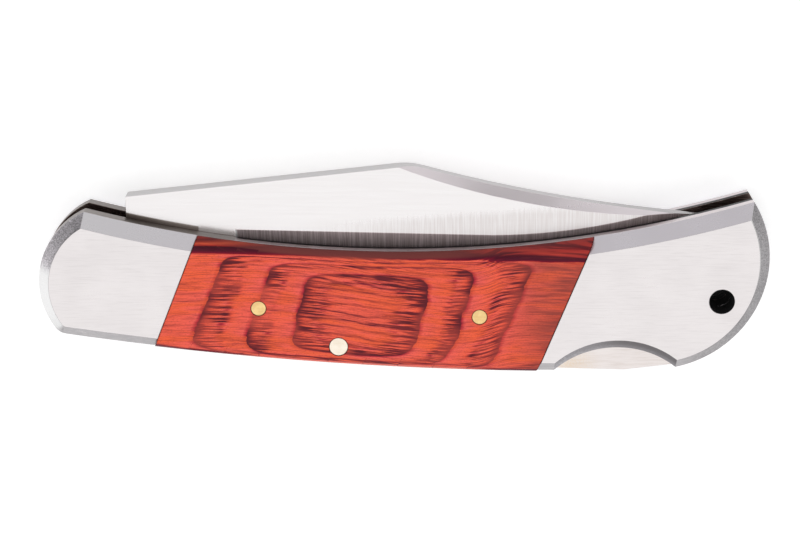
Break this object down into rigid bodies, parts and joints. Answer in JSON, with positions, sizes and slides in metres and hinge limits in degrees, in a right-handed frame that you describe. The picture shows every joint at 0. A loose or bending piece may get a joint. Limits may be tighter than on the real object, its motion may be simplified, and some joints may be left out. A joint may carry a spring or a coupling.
{
  "type": "folding pocket knife",
  "caption": "Folding pocket knife with a back lock: clip point blade, steel bolsters and liners, laminated wood scales, thumb notch at the back and a lanyard hole.",
  "frame": {"origin": "on the resting face of the far scale, midway along the closed handle and level with the blade's pivot", "axes": "+X along the handle from the pivot to the butt, +Y from the handle's back to the blade slot, +Z through the thickness to the near side"},
  "size_m": [0.12, 0.035, 0.012],
  "materials": {
    "blade_steel": "satin, ground across the bevels",
    "lock_steel": "satin",
    "spring_steel": "tempered, plain",
    "liner_steel": "polished edges",
    "bolster_steel": "brushed along the handle",
    "hidden_pin_steel": "plain, hidden",
    "laminated_wood": "resin-filled laminate, polished, orange red with burgundy bands",
    "brass": "polished flush",
    "pale_brass": "polished flush"
  },
  "bodies": {
    "handle": {"back_spring": "spring_steel", "rear_spacer": "lock_steel", "liner_near": "liner_steel", "liner_far": "liner_steel", "front_bolster_near": "bolster_steel", "front_bolster_far": "bolster_steel", "rear_bolster_near": "bolster_steel", "rear_bolster_far": "bolster_steel", "scale_near": "laminated_wood", "scale_far": "laminated_wood", "pivot_pin": "hidden_pin_steel", "upper_spacer_pin": "hidden_pin_steel", "lower_spacer_pin": "hidden_pin_steel", "front_bolster_rivets_near": "hidden_pin_steel", "front_bolster_rivets_far": "hidden_pin_steel", "lock_bar_pin": "pale_brass", "front_handle_pin": "brass", "rear_handle_pin": "brass"},
    "blade": {"blade": "blade_steel"},
    "lock_bar": {"lock_bar": "lock_steel"}
  },
  "joints": [
    {"name": "blade_pivot", "type": "hinge", "parent": "handle", "child": "blade", "pos_m": [-0.048, 0, 0.006], "axis": [0, 0, 1], "range_deg": [0, 166.8]},
    {"name": "lock_bar_rocker", "type": "hinge", "parent": "handle", "child": "lock_bar", "pos_m": [-0.0107, -0.0123, 0.006], "axis": [0, 0, 1], "range_deg": [-1.55, 3], "stiffness_Nm_per_rad": 5, "deforming": ["back_spring"]}
  ]
}
